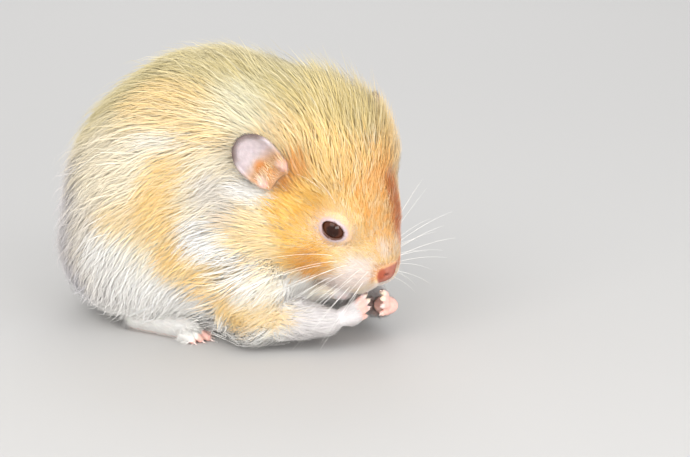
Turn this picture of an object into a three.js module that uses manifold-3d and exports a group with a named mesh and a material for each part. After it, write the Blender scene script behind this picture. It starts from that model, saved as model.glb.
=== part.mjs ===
// A still, life-size Syrian hamster that crouches and holds both forepaws up to its mouth.
// Millimetres. +X is forwards, +Y is the animal's left and +Z is up. The origin lies on the
// floor, under the middle of the trunk. Every solid reaches out to the tips of the coat.
import * as THREE from 'three';
import { mergeVertices } from 'three/addons/utils/BufferGeometryUtils.js';
import Module from 'manifold-3d';

const wasm = await Module();
wasm.setup();

// ---------- Driving dimensions ----------
const GAP = 0.35; // clearance between neighbouring solids
const EYE_RADIUS = 3.1;
const EAR_LENGTH = 12.6;
const EAR_WIDTH = 9.0;
const EAR_THICKNESS = 0.9;
const EAR_CUP = 2.6; // how far the ear's edges curl forwards
const FINGER_RADII = [0.95, 0.65]; // at the root and at the tip
const TOE_RADII = [1.25, 0.85];
const TAIL_RADII = [2.2, 1.2];
const WHISKER_RADII = [0.3, 0.15]; // at the coat and at the tip

// The head's own frame starts midway between the eyes: x to the nose, y to the left, z to the crown.
const HEAD_AT = new THREE.Vector3(38.1, -7, 28.7);
const HEAD_YAW = 12; // degrees that the head turns to its right
const HEAD_PITCH = 32; // degrees that the nose dips
const HEAD_ROLL = 6; // degrees that the crown leans to its right

// ---------- Shape functions ----------
const RIGHT = -1;
const LEFT = 1;
const SIDES = { right: RIGHT, left: LEFT };

const headFrame = (() => {
  const turn = new THREE.Matrix4()
    .makeRotationZ(THREE.MathUtils.degToRad(-HEAD_YAW))
    .multiply(new THREE.Matrix4().makeRotationY(THREE.MathUtils.degToRad(HEAD_PITCH)))
    .multiply(new THREE.Matrix4().makeRotationX(THREE.MathUtils.degToRad(HEAD_ROLL)));
  return turn.setPosition(HEAD_AT);
})();
const intoHead = headFrame.clone().invert();
const onHead = (x, y, z) => new THREE.Vector3(x, y, z).applyMatrix4(headFrame);

// The nearly true distance from p to an ellipsoid, below zero inside it.
function ellipsoid(p, [cx, cy, cz], [rx, ry, rz]) {
  const x = (p.x - cx) / rx;
  const y = (p.y - cy) / ry;
  const z = (p.z - cz) / rz;
  const near = Math.hypot(x, y, z);
  const slope = Math.hypot(x / rx, y / ry, z / rz);
  return slope < 1e-9 ? -Math.min(rx, ry, rz) : (near * (near - 1)) / slope;
}

// The smaller of two distances, with the crease between them filled over a width.
function blend(a, b, width) {
  const share = Math.max(width - Math.abs(a - b), 0) / width;
  return Math.min(a, b) - (share * share * width) / 4;
}

const blendAll = (distances, width) => distances.reduce((a, b) => blend(a, b, width));

// The trunk under its coat of long, loose fur.
const TRUNK_FORMS = [
  { at: [-10.5, 0, 28], radii: [28, 32, 29] }, // rump and haunches
  { at: [-14, 1, 15], radii: [26, 30, 17.5] }, // seat
  { at: [-2, 0, 35.5], radii: [27, 29, 29.5] }, // arched back
  { at: [14, -1, 35], radii: [20, 25, 26] }, // withers
  { at: [25, -2, 45], radii: [13, 16, 14.5] }, // nape
  { at: [10, -1, 17], radii: [24, 25, 17.5] }, // chest and belly
];
const TRUNK_BLEND = 8;

// The head, in its own frame. A form with a side is repeated on the other one.
const HEAD_FORMS = [
  { at: [-12, 0, 0.5], radii: [14.5, 13.5, 12] }, // braincase
  { at: [-13, 1, 8.5], radii: [14.5, 16, 15] }, // crown
  { at: [-3, 0.5, 3.5], radii: [10.5, 9.2, 10.2] }, // forehead
  { at: [3.2, 0, -2.4], radii: [9.6, 7.2, 7.8] }, // bridge of the nose
  { at: [7.9, 0, -6.2], radii: [5.2, 5, 4.8] }, // muzzle
];
const HEAD_PAIRS = [
  { at: [6.8, 4.3, -8.4], radii: [5.4, 4.2, 4.9] }, // whisker pad
  { at: [1.2, 6.4, -6.8], radii: [7.5, 4.9, 5.6] }, // side of the muzzle
  { at: [-2, 5.1, 2.2], radii: [6.8, 3.8, 4.6] }, // brow
  { at: [-8, 10.2, -7.2], radii: [10.5, 8.3, 9.4] }, // cheek
];
const HEAD_BLEND = 4;
const NECK_BLEND = 6;

const trunkShape = (p) => blendAll(TRUNK_FORMS.map((f) => ellipsoid(p, f.at, f.radii)), TRUNK_BLEND);

function headShape(p) {
  const q = p.clone().applyMatrix4(intoHead);
  const mirrored = new THREE.Vector3(q.x, Math.abs(q.y), q.z);
  const middle = HEAD_FORMS.map((f) => ellipsoid(q, f.at, f.radii));
  const sides = HEAD_PAIRS.map((f) => ellipsoid(mirrored, f.at, f.radii));
  return blendAll([...middle, ...sides], HEAD_BLEND);
}

const bodyShape = (p) => blend(trunkShape(p), headShape(p), NECK_BLEND);

// ---------- Solids ----------
// A three.js geometry with only positions, whose neighbouring faces share their vertices.
function closed(geometry) {
  geometry.deleteAttribute('normal');
  geometry.deleteAttribute('uv');
  return mergeVertices(geometry, 1e-4);
}

function solidFrom(geometry) {
  return new wasm.Manifold(
    new wasm.Mesh({
      numProp: 3,
      vertProperties: new Float32Array(geometry.attributes.position.array),
      triVerts: new Uint32Array(geometry.index.array),
    }),
  );
}

function geometryFrom(solid) {
  const { vertProperties, triVerts, numProp } = solid.getMesh();
  const indexed = new THREE.BufferGeometry();
  indexed.setAttribute('position', new THREE.BufferAttribute(new Float32Array(vertProperties), numProp));
  indexed.setIndex(new THREE.BufferAttribute(new Uint32Array(triVerts), 1));
  const faceted = indexed.toNonIndexed();
  faceted.computeVertexNormals();
  return faceted;
}

const join = (solids) => solids.reduce((a, b) => a.add(b));
const cutAway = (solid, cutters) => cutters.reduce((a, b) => a.subtract(b), solid);

// How far the surface of a shape lies from a centre inside it, along a direction.
function reach(shape, centre, direction, grow) {
  const at = (t) => shape(centre.clone().addScaledVector(direction, t)) - grow;
  const STEP = 0.5;
  let outside = 0;
  while (at(outside) < 0) outside += STEP;
  let inside = Math.max(outside - STEP, 0);
  for (let i = 0; i < 24; i += 1) {
    const middle = (inside + outside) / 2;
    if (at(middle) < 0) inside = middle;
    else outside = middle;
  }
  return outside;
}

// A ball whose every vertex is moved out to the surface of a shape.
function castSolid(shape, centre, detail, grow = 0) {
  const ball = closed(new THREE.IcosahedronGeometry(1, detail));
  const position = ball.getAttribute('position');
  const direction = new THREE.Vector3();
  for (let i = 0; i < position.count; i += 1) {
    direction.fromBufferAttribute(position, i).normalize();
    const out = reach(shape, centre, direction, grow);
    position.setXYZ(
      i,
      centre.x + direction.x * out,
      centre.y + direction.y * out,
      centre.z + direction.z * out,
    );
  }
  return solidFrom(ball);
}

function ellipsoidSolid(centre, radii, frame, grow = 0, segments = 14) {
  const ball = closed(new THREE.SphereGeometry(1, segments, Math.round(segments * 0.7)));
  ball.scale(radii[0] + grow, radii[1] + grow, radii[2] + grow);
  ball.applyMatrix4(frame.clone().setPosition(centre));
  return solidFrom(ball);
}

// A round-ended rod from one point to another, which may taper.
function rod(from, to, radii, grow = 0, segments = 6) {
  const along = to.clone().sub(from);
  const half = along.length() / 2;
  const shape = closed(new THREE.CapsuleGeometry(1, 2 * half, 2, segments));
  const position = shape.getAttribute('position');
  for (let i = 0; i < position.count; i += 1) {
    const core = THREE.MathUtils.clamp(position.getY(i), -half, half);
    const radius = grow + THREE.MathUtils.mapLinear(core, -half, half, radii[0], radii[1]);
    const end = position.getY(i) - core;
    position.setXYZ(i, position.getX(i) * radius, core + end * radius, position.getZ(i) * radius);
  }
  const turn = new THREE.Quaternion().setFromUnitVectors(
    new THREE.Vector3(0, 1, 0),
    along.clone().normalize(),
  );
  shape.applyQuaternion(turn);
  const middle = from.clone().add(to).multiplyScalar(0.5);
  shape.translate(middle.x, middle.y, middle.z);
  return solidFrom(shape);
}

// Everything on one side of a plane, as a block that is large beside the animal.
const BLOCK = 300;
function beyond(point, normal) {
  const block = closed(new THREE.BoxGeometry(BLOCK, BLOCK, BLOCK));
  block.translate(0, 0, BLOCK / 2);
  const toNormal = new THREE.Quaternion().setFromUnitVectors(
    new THREE.Vector3(0, 0, 1),
    normal.clone().normalize(),
  );
  block.applyQuaternion(toNormal);
  block.translate(point.x, point.y, point.z);
  return solidFrom(block);
}

const aboveFloor = beyond(new THREE.Vector3(0, 0, 0), new THREE.Vector3(0, 0, 1));
const upright = new THREE.Matrix4();

// ---------- Head pieces ----------
const LIDS_MIDDLE = new THREE.Vector3(1.1, 9.8, 1.8);
const EYE_LOOK = new THREE.Vector3(0.46, 0.86, 0.21).normalize(); // where the left eye looks
const EYE_DEPTH = 1.6; // from the middle of the lids in to the eyeball's centre
function eye(side, grow = 0) {
  const centre = LIDS_MIDDLE.clone().addScaledVector(EYE_LOOK, -EYE_DEPTH);
  return castSolid(
    (p) => p.distanceTo(onHead(centre.x, side * centre.y, centre.z)) - EYE_RADIUS,
    onHead(centre.x, side * centre.y, centre.z),
    2,
    grow,
  );
}

const NOSE = { at: [12.2, 0, -5.2], radii: [1.8, 2.5, 2.2] };
const LOWER_JAW = { at: [4, 0, -12.4], radii: [6.6, 4.8, 3.4] };
const nose = (grow = 0) => ellipsoidSolid(onHead(...NOSE.at), NOSE.radii, headFrame, grow, 10);
const lowerJaw = (grow = 0) =>
  ellipsoidSolid(onHead(...LOWER_JAW.at), LOWER_JAW.radii, headFrame, grow, 12);

// A cupped oval leaf that stands on the side of the head and opens forwards and outwards.
const EAR_BASE = new THREE.Vector3(-14.6, 16.9, 6.9);
const EAR_RISE = new THREE.Vector3(-0.755, 0.484, 0.452).normalize();
const EAR_FACE = new THREE.Vector3(0.661, 0.58, 0.477).normalize();
function ear(side) {
  const across = new THREE.Vector3().crossVectors(EAR_RISE, EAR_FACE);
  const leaf = closed(new THREE.SphereGeometry(1, 12, 9));
  const position = leaf.getAttribute('position');
  const rim = 0.35; // a low power keeps the leaf thick out to its rim
  for (let i = 0; i < position.count; i += 1) {
    const [x, y, z] = [position.getX(i), position.getY(i), position.getZ(i)];
    const width = (x * EAR_WIDTH * (1 + 0.12 * y)) / 2;
    const height = (EAR_LENGTH * (y + 0.8)) / 2;
    const curl = EAR_CUP * (x * x + 0.35 * Math.max(y, 0) ** 2);
    const depth = curl + (Math.sign(z) * Math.abs(z) ** rim * EAR_THICKNESS) / 2;
    const point = EAR_BASE.clone()
      .addScaledVector(across, width)
      .addScaledVector(EAR_RISE, height)
      .addScaledVector(EAR_FACE, depth);
    const placed = onHead(point.x, side * point.y, point.z);
    position.setXYZ(i, placed.x, placed.y, placed.z);
  }
  const solid = side === LEFT ? leaf : turnedInsideOut(leaf);
  return solidFrom(solid);
}

// A mirrored geometry has its faces turned the right way round again.
function turnedInsideOut(geometry) {
  const index = geometry.getIndex();
  for (let i = 0; i < index.count; i += 3) {
    const first = index.getX(i);
    index.setX(i, index.getX(i + 1));
    index.setX(i + 1, first);
  }
  return geometry;
}

// The longest whiskers, by their row down the pad and their place back along it. Each runs out of
// the muzzle, droops towards its tip, and starts a gap beyond the coat. Lengths count from the
// pad's middle layer under the coat.
const point = (x, y, z) => new THREE.Vector3(x, y, z);
const WHISKERS = [
  { row: 0, place: 0 },
  { row: 0, place: 2 },
  { row: 1, place: 4 },
];
const WHISKER_FIRST = { forward: 10.2, out: 2.6, up: -4.8, length: 20 };
const WHISKER_BY_PLACE = { forward: -1.25, out: 0.9, length: 2.2, turnedBack: 0.16 };
const WHISKER_BY_ROW = { up: -1.3, length: -1.2, lowered: 0.3 };
const WHISKER_LIFTS = { right: 0.25, left: 0.6 }; // how far the top row rises
const WHISKER_DROOP = point(-0.12, 0, -0.22); // at the tip, as a share of the length
const WHISKER_STEPS = 3;
function whisker(name, { row, place }) {
  const side = SIDES[name];
  const origin = onHead(
    WHISKER_FIRST.forward + WHISKER_BY_PLACE.forward * place,
    side * (WHISKER_FIRST.out + WHISKER_BY_PLACE.out * place),
    WHISKER_FIRST.up + WHISKER_BY_ROW.up * row,
  );
  const way = point(
    0.3 - WHISKER_BY_PLACE.turnedBack * place,
    side * 0.9,
    WHISKER_LIFTS[name] - WHISKER_BY_ROW.lowered * row,
  ).transformDirection(headFrame);
  const length = WHISKER_FIRST.length + WHISKER_BY_PLACE.length * place + WHISKER_BY_ROW.length * row;
  const start = reach(bodyShape, origin, way, GAP + WHISKER_RADII[0]) / length;
  const hair = closed(
    new THREE.CylinderGeometry(WHISKER_RADII[1], WHISKER_RADII[0], 1, 4, WHISKER_STEPS),
  );
  const turn = new THREE.Quaternion().setFromUnitVectors(point(0, 1, 0), way);
  const position = hair.getAttribute('position');
  for (let i = 0; i < position.count; i += 1) {
    const share = THREE.MathUtils.mapLinear(position.getY(i), -0.5, 0.5, start, 1);
    const placed = point(position.getX(i), 0, position.getZ(i))
      .applyQuaternion(turn)
      .add(origin)
      .addScaledVector(way, share * length)
      .addScaledVector(WHISKER_DROOP, share * share * length);
    position.setXYZ(i, placed.x, placed.y, placed.z);
  }
  return solidFrom(hair);
}

// ---------- Limbs ----------

// Where each foreleg runs, from the shoulder to the palm held under the chin.
const FORELEGS = {
  right: {
    shoulder: point(21, -17, 17),
    elbow: point(19, -21.5, 7.5),
    wrist: point(34.6, -14.6, 6.6),
    palm: point(38.6, -11.8, 7.8),
  },
  left: {
    shoulder: point(25, 10, 17),
    elbow: point(25, 14, 7.5),
    wrist: point(39.4, 2.8, 6.6),
    palm: point(42.4, -0.6, 7.8),
  },
};
const SHOULDER_RADIUS = 8;
const ELBOW_RADIUS = 6.2;
const WRIST_RADIUS = 3.5;
const PALM_RADII = [3, 2.6, 2.2];
const PAW_ROOM = [5.4, 5.4, 4.8]; // holds the palm and its fingers

const foreleg = ({ shoulder, elbow, wrist }, grow = 0) =>
  join([
    rod(shoulder, elbow, [SHOULDER_RADIUS, ELBOW_RADIUS], grow, 10),
    rod(elbow, wrist, [ELBOW_RADIUS, WRIST_RADIUS], grow, 10),
  ]);

// Four fingers fan out of the palm and curl towards the mouth.
const FINGER_COUNT = 4;
const FINGER_LENGTH = 3.6;
function forepaw({ wrist, palm }, side, grow = 0) {
  const ahead = palm.clone().sub(wrist).normalize();
  const inward = point(0.2 * -side, -side, 0).normalize();
  const lift = point(0, 0, 1);
  const pieces = [ellipsoidSolid(palm, PALM_RADII, upright, grow, 8)];
  for (let i = 0; i < FINGER_COUNT; i += 1) {
    const spread = (i / (FINGER_COUNT - 1) - 0.5) * 2;
    const root = palm
      .clone()
      .addScaledVector(ahead, 1.2 - 0.9 * Math.abs(spread))
      .addScaledVector(lift, spread * 1.5);
    const tip = root
      .clone()
      .addScaledVector(ahead, FINGER_LENGTH * 0.5)
      .addScaledVector(inward, FINGER_LENGTH * 0.7)
      .addScaledVector(lift, FINGER_LENGTH * (0.35 + 0.3 * spread));
    pieces.push(rod(root, tip, FINGER_RADII, grow, 5));
  }
  return join(pieces);
}

// The thigh is the part of the body's own surface that lies inside a large ellipsoid.
const THIGH = { at: [-9, 23, 14], radii: [18, 15, 17] };
const thighRegion = (side, grow = 0) =>
  ellipsoidSolid(point(THIGH.at[0], side * THIGH.at[1], THIGH.at[2]), THIGH.radii, upright, grow, 14);

const HEEL = [-13, 19, 2.6];
const FOOT_LENGTH = 15;
const FOOT_RADII = [3, 2.8];
const TOE_COUNT = 5;
const TOE_LENGTH = 4;
const TOES_ROOM = 4.6; // radius of the room round the spread toes
function hindfoot(side) {
  const heel = point(HEEL[0], side * HEEL[1], HEEL[2]);
  const ball = heel.clone().add(point(FOOT_LENGTH, side * 1.5, -0.3));
  const pieces = [rod(heel, ball, FOOT_RADII, 0, 8)];
  for (let i = 0; i < TOE_COUNT; i += 1) {
    const spread = (i / (TOE_COUNT - 1) - 0.5) * 2;
    const root = ball.clone().add(point(1.2 - Math.abs(spread), spread * 2.2, -1));
    const tip = root.clone().add(point(TOE_LENGTH * (1 - 0.25 * Math.abs(spread)), spread * 1.3, -0.5));
    pieces.push(rod(root, tip, TOE_RADII, 0, 5));
  }
  return join(pieces).intersect(aboveFloor);
}

// A room in the trunk and thigh that holds the whole foot.
function footRoom(side) {
  const heel = point(HEEL[0], side * HEEL[1], HEEL[2]);
  const ball = heel.clone().add(point(FOOT_LENGTH, side * 1.5, -0.3));
  return rod(heel, ball, [FOOT_RADII[0], TOES_ROOM], GAP, 9);
}

const tail = (grow = 0) => rod(point(-30, 1, 12), point(-39.6, 2, 6), TAIL_RADII, grow, 6);

// ---------- The body, parted ----------
// The neck ends at one large ellipsoid round the head, and the head at a smaller one inside it.
const NECK_REGION = { at: [-7, 1, 0], radii: [24, 29, 29] };
const HEAD_REGION = { at: [-4, 0, 0.5], radii: [20.5, 24, 23] };
const region = ({ at, radii }, grow = 0) => ellipsoidSolid(onHead(...at), radii, headFrame, grow, 14);

const bothSides = (make) => Object.values(SIDES).map(make);
const forelegCutters = Object.values(FORELEGS).map((leg) => foreleg(leg, GAP));
const forepawCutters = Object.values(FORELEGS).map(({ palm }) =>
  ellipsoidSolid(palm, PAW_ROOM, upright, 0, 10),
);
const footCutters = bothSides(footRoom);

// Each casting's centre, and how finely its ball is divided.
const TRUNK_CENTRE = point(-2, 0, 30);
const NECK_CENTRE = point(20, -3, 32);
const HEAD_CENTRE = onHead(-6, 0, -3);
const DETAIL = { trunk: 7, neck: 6, head: 8, earCutter: 12 };

const whole = castSolid(bodyShape, TRUNK_CENTRE, DETAIL.trunk).intersect(aboveFloor);
const trunk = cutAway(whole, [
  region(NECK_REGION, GAP),
  ...bothSides((side) => thighRegion(side, GAP)),
  ...forelegCutters,
  ...footCutters,
  tail(GAP),
]);

const neck = cutAway(castSolid(bodyShape, NECK_CENTRE, DETAIL.neck).intersect(region(NECK_REGION)), [
  region(HEAD_REGION, GAP),
  ...bothSides((side) => thighRegion(side, GAP)),
  ...forelegCutters,
]);

const head = cutAway(castSolid(bodyShape, HEAD_CENTRE, DETAIL.head).intersect(region(HEAD_REGION)), [
  ...bothSides((side) => eye(side, GAP)),
  nose(GAP),
  lowerJaw(GAP),
  ...forelegCutters,
  ...forepawCutters,
]);

const bodyGrown = castSolid(bodyShape, HEAD_CENTRE, DETAIL.earCutter, GAP);

// ---------- Materials and nodes ----------
const material = (color, roughness) => new THREE.MeshStandardMaterial({ color, roughness, metalness: 0 });
const goldenFur = material(0xf0bb62, 0.95);
const creamFur = material(0xe9d9ad, 0.95);
const whiteFur = material(0xf3efe6, 0.95);
const pinkSkin = material(0xe2a69a, 0.6);
const earSkin = material(0xc9a79b, 0.7);
const eyeGloss = material(0x1c0f0c, 0.08);

const hamster = new THREE.Group();
function add(name, solid, finish) {
  const mesh = new THREE.Mesh(geometryFrom(solid), finish);
  mesh.name = name;
  hamster.add(mesh);
}

add('trunk', trunk, creamFur);
add('neck', neck, creamFur);
add('head', head, goldenFur);
add('lower_jaw', cutAway(lowerJaw(), forepawCutters), whiteFur);
add('nose', nose(), pinkSkin);
add('tail', tail(), pinkSkin);
for (const [name, side] of Object.entries(SIDES)) {
  add(`eye_${name}`, eye(side), eyeGloss);
  add(`ear_${name}`, ear(side).subtract(bodyGrown), earSkin);
  add(`foreleg_${name}`, foreleg(FORELEGS[name]).subtract(forepaw(FORELEGS[name], side, GAP)), whiteFur);
  add(`forepaw_${name}`, forepaw(FORELEGS[name], side), pinkSkin);
  add(`hindleg_${name}`, cutAway(whole.intersect(thighRegion(side)), footCutters), whiteFur);
  add(`hindfoot_${name}`, hindfoot(side), pinkSkin);
  WHISKERS.forEach((place, i) => add(`whisker_${name}_${i + 1}`, whisker(name, place), whiteFur));
}

export default hamster;
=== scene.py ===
"""A long-haired Syrian hamster that crouches and holds both forepaws up to its mouth.

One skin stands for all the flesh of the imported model, and a coat of solid strands grows out of it.
The eyes, the claws and the whiskers are pieces of their own. Sizes are in millimetres, in the
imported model's frame: +X forwards, +Y to the animal's left, +Z up. add_mesh() turns them to metres.
"""
import math

import bpy
import numpy as np
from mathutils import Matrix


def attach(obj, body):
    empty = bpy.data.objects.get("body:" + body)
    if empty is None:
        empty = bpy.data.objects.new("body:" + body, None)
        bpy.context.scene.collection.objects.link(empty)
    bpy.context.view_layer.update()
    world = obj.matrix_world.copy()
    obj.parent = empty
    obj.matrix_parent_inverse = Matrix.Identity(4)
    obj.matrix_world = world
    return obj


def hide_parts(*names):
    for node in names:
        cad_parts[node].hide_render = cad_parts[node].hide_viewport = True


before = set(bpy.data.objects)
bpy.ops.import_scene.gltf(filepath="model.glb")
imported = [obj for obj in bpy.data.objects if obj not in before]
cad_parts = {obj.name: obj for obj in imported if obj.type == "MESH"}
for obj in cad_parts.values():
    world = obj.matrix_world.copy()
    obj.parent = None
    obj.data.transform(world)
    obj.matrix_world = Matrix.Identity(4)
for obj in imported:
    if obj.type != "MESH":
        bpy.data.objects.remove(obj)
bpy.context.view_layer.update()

import openvdb
from mathutils import Vector, kdtree

# ---------------------------------------------------------------- sizes
MM = 0.001
SIDES = {"right": -1, "left": 1}

# The head's own frame starts midway between the eyes: x to the nose, y to the left, z to the crown.
HEAD_AT = np.array([38.1, -7.0, 28.7])
HEAD_YAW = 12.0  # degrees that the head turns to its right
HEAD_PITCH = 32.0  # degrees that the nose dips
HEAD_ROLL = 6.0  # degrees that the crown leans to its right

# The outline of the coat, as (centre, radii) of the rounded forms that it is blended from.
TRUNK_FORMS = [
    ((-10.5, 0, 28), (28, 32, 29)),  # rump and haunches
    ((-14, 1, 15), (26, 30, 17.5)),  # seat
    ((-2, 0, 35.5), (27, 29, 29.5)),  # arched back
    ((14, -1, 35), (20, 25, 26)),  # withers
    ((25, -2, 45), (13, 16, 14.5)),  # nape
    ((10, -1, 17), (24, 25, 17.5)),  # chest and belly
]
TRUNK_BLEND = 8.0
HEAD_FORMS = [
    ((-12, 0, 0.5), (14.5, 13.5, 12)),  # braincase
    ((-13, 1, 8.5), (14.5, 16, 15)),  # crown
    ((-3, 0.5, 3.5), (10.5, 9.2, 10.2)),  # forehead
    ((3.2, 0, -2.4), (9.6, 7.2, 7.8)),  # bridge of the nose
    ((7.9, 0, -6.2), (5.2, 5, 4.8)),  # muzzle
]
HEAD_PAIRS = [
    ((6.8, 4.3, -8.4), (5.4, 4.2, 4.9)),  # whisker pad
    ((1.2, 6.4, -6.8), (7.5, 4.9, 5.6)),  # side of the muzzle
    ((-2, 5.1, 2.2), (6.8, 3.8, 4.6)),  # brow
    ((-8, 10.2, -7.2), (10.5, 8.3, 9.4)),  # cheek
]
HEAD_BLEND = 4.0
NECK_BLEND = 6.0

# How deep the coat lies over the skin.
BODY_COAT = 6.5
BELLY_COAT = 3.0
THROAT_COAT = 4.5
CROWN_COAT = 2.2  # added over the forehead and the crown
HEAD_COAT = [(13, 0.5), (9, 0.8), (4, 1.1), (-3, 2.0), (-10, 3.4), (-18, 5.2), (-26, BODY_COAT)]

EYE_RADIUS = 3.1
CORNEA = 0.045  # how far the front of the eye bulges, as a share of its radius
CORNEA_SPREAD = 0.6  # how wide the bulge is, in radians
PUPIL_EDGE = (0.93, 0.86)  # where the pupil turns into the iris, as the cosine of the angle off the look
EYE_RINGS, EYE_SEGMENTS = 40, 56
LIDS_MIDDLE = np.array([1.1, 9.8, 1.8])
EYE_LOOK = np.array([0.46, 0.86, 0.21]) / np.linalg.norm([0.46, 0.86, 0.21])
EYE_DEPTH = 1.6  # from the middle of the lids in to the middle of the eyeball
EYE_OPENING = (2.4, 1.8)  # half the width and half the height between the lids
EYE_CORNERS = (1.1, 0.85)  # the opening's reach to its back corner and up to the upper lid, as shares
LID = 0.5  # the lids' thickness over the eyeball

# Centre and radii in the head's frame.
NOSE = ((12.2, 0, -5.2), (1.8, 2.5, 2.2))
NOSTRIL = ((13.3, 1.25, -4.6), (1.0, 0.55, 0.42))
CLEFT = ((13.2, 0, -8), (1.5, 0.28, 2.6))  # from the nose down to the mouth
MOUTH = ((7.2, 0, -11.3), (5.6, 5.6, 0.75))
LOWER_JAW = ((4, 0, -12.6), (6.8, 6.3, 4.4))
RUFF = ((2, -1.5, -16), (8.3, 7.2, 5.6))  # the fluff that hangs under the chin, between the forelegs
# What the muzzle is built up from, with the coat over each and the width of the crease filled around
# it, and what is hollowed out of it.
MUZZLE_FORMS = ((LOWER_JAW, 1.1, 1.2), (RUFF, 2.0, 1.5), (NOSE, 0, 0.7))
MUZZLE_HOLLOWS = ((NOSTRIL, 0.25), (CLEFT, 0.4), (MOUTH, 0.5))

EAR_LENGTH = 12.6
EAR_WIDTH = 9.0
EAR_THICKNESS = 0.8
EAR_RIM = 0.2  # added to each face of the leaf at its edge
EAR_CUP = 2.6
EAR_ROOT = -1.1  # how far the leaf runs down into the head, as a share of half its length
EAR_FOLDS = [(-2.9, 0.6, 1.7, 0.9), (2.7, 0.9, 1.8, 0.8)]  # lobes at its notch: across, up, out, radius
EAR_BASE = np.array([-14.6, 16.9, 6.9])
EAR_RISE = np.array([-0.755, 0.484, 0.452]) / np.linalg.norm([-0.755, 0.484, 0.452])
EAR_FACE = np.array([0.661, 0.58, 0.477]) / np.linalg.norm([0.661, 0.58, 0.477])

FORELEGS = {  # the shoulder, the elbow, the wrist and the middle of the palm
    "right": np.array([(21, -17, 17), (19, -21.5, 7.5), (34.6, -14.6, 6.6), (38.6, -11.8, 7.8)]),
    "left": np.array([(25, 10, 17), (25, 14, 7.5), (39.4, 2.8, 6.6), (42.4, -0.6, 7.8)]),
}
BARE_FROM = {"right": 1.4, "left": -1.6}  # where each paw's hair ends, ahead of the middle of its palm
FORELEG_RADII = (8.0, 6.2, 3.5)  # over the coat at the shoulder, the elbow and the wrist
FORELEG_COAT = (2.6, 2.2, 1.5)
FORELEG_FLESH = tuple(radius - coat for radius, coat in zip(FORELEG_RADII, FORELEG_COAT))
WRIST_RADII = (1.9, 1.8)
PALM_RADII = (2.9, 2.5, 2.1)
FINGERS = 4
FINGER_LENGTH = 3.6
FINGER_RADII = (0.95, 0.62)

HEEL = (-13, 19, 2.6)
FOOT_LENGTH = 15.0
FOOT_RADII = (2.7, 2.6)
TOES = 5
TOE_LENGTH = 4.0
TOE_RADII = (1.2, 0.8)

TAIL = ((-28, 1, 13), (-39.4, 2, 6.2), (2.4, 1.0))

# How wide the crease is filled where a part meets the rest, and how far around its middle it may reach.
CREASES = {"foreleg": 3, "palm": 0.8, "fingers": 0.35, "foot": 1.5, "toes": 0.5, "ear": 1.6, "fold": 1.4,
           "lids": 1.6, "tail": 1.5}
REACHES = {"palm": 9, "fingers": 9, "toes": 9, "ear": 22, "fold": 6, "lids": 7, "muzzle": 18}

COAT_SOFTNESS = 0.75  # how far each strand is shaded as the coat's surface, from 0 to 1
SKIN_STEP = 0.4  # spacing of the grid that the skin is drawn from


# ---------------------------------------------------------------- vectors and shape functions
def unit(vectors):
    return vectors / np.maximum(np.linalg.norm(vectors, axis=-1, keepdims=True), 1e-9)


def dot(a, b):
    return (a * b).sum(-1)


def ramp(start, end, value):
    """0 at start and 1 at end, with soft corners."""
    share = np.clip((value - start) / (end - start), 0, 1)
    return share * share * (3 - 2 * share)


def mix(a, b, share):
    return a + (b - a) * share


def mix_rows(a, b, shares):
    """Colours or directions mixed, each by its own share."""
    return mix(a, b, shares[:, None])


def turn(axis, degrees):
    """The matrix of a turn about x, y or z."""
    c, s = math.cos(math.radians(degrees)), math.sin(math.radians(degrees))
    return np.array({
        "x": [[1, 0, 0], [0, c, -s], [0, s, c]],
        "y": [[c, 0, s], [0, 1, 0], [-s, 0, c]],
        "z": [[c, -s, 0], [s, c, 0], [0, 0, 1]],
    }[axis])


HEAD_TURN = turn("z", -HEAD_YAW) @ turn("y", HEAD_PITCH) @ turn("x", HEAD_ROLL)


def to_head(points):
    return (points - HEAD_AT) @ HEAD_TURN


def from_head(points):
    return np.asarray(points) @ HEAD_TURN.T + HEAD_AT


def turned_with_head(directions):
    return np.asarray(directions) @ HEAD_TURN.T


def mirrored(point, side):
    """A place or direction given for the left side, on the side that is asked for."""
    return np.array([point[0], side * point[1], point[2]], float)


def folded(points):
    """The places with those on the right brought over to the left."""
    return np.stack([points[:, 0], np.abs(points[:, 1]), points[:, 2]], 1)


def within(points, centre, radii, edge, core):
    """1 around a place and 0 away from it: the soft edge runs between two shares of the radii."""
    return ramp(edge, core, np.linalg.norm((points - np.asarray(centre)) / radii, axis=1))


def ellipsoid(points, centre, radii):
    """The nearly true distance to an ellipsoid, below zero inside it."""
    scaled = (points - np.asarray(centre)) / radii
    near = np.linalg.norm(scaled, axis=1)
    slope = np.linalg.norm(scaled / radii, axis=1)
    return near * (near - 1) / np.maximum(slope, 1e-6)


def rod(points, start, end, radii):
    """The distance to a round-ended rod that tapers from one radius to the other."""
    start, end = np.asarray(start, float), np.asarray(end, float)
    along = end - start
    share = np.clip((points - start) @ along / (along @ along), 0, 1)
    return np.linalg.norm(points - start - share[:, None] * along, axis=1) - mix(*radii, share)


def blend(a, b, width):
    """The smaller of two distances, with the crease between them filled over a width."""
    share = np.maximum(width - np.abs(a - b), 0) / width
    return np.minimum(a, b) - share * share * width / 4


def carve(a, b, width):
    """The distance to a with b cut out of it, with a soft edge."""
    return -blend(-a, b, width)


def change_near(distance, points, centre, part, change):
    """Works change(distance, points) out only for the points within a part's reach of its centre."""
    near = np.nonzero(((points - np.asarray(centre)) ** 2).sum(1) < REACHES[part] ** 2)[0]
    if len(near):
        distance[near] = change(distance[near], points[near])


def blend_near(distance, points, centre, part, shape):
    change_near(distance, points, centre, part, lambda d, p: blend(d, shape(p), CREASES[part]))


# ---------------------------------------------------------------- the outline and the flesh
def blend_forms(points, forms, width):
    distance = ellipsoid(points, *forms[0])
    for form in forms[1:]:
        distance = blend(distance, ellipsoid(points, *form), width)
    return distance


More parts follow.
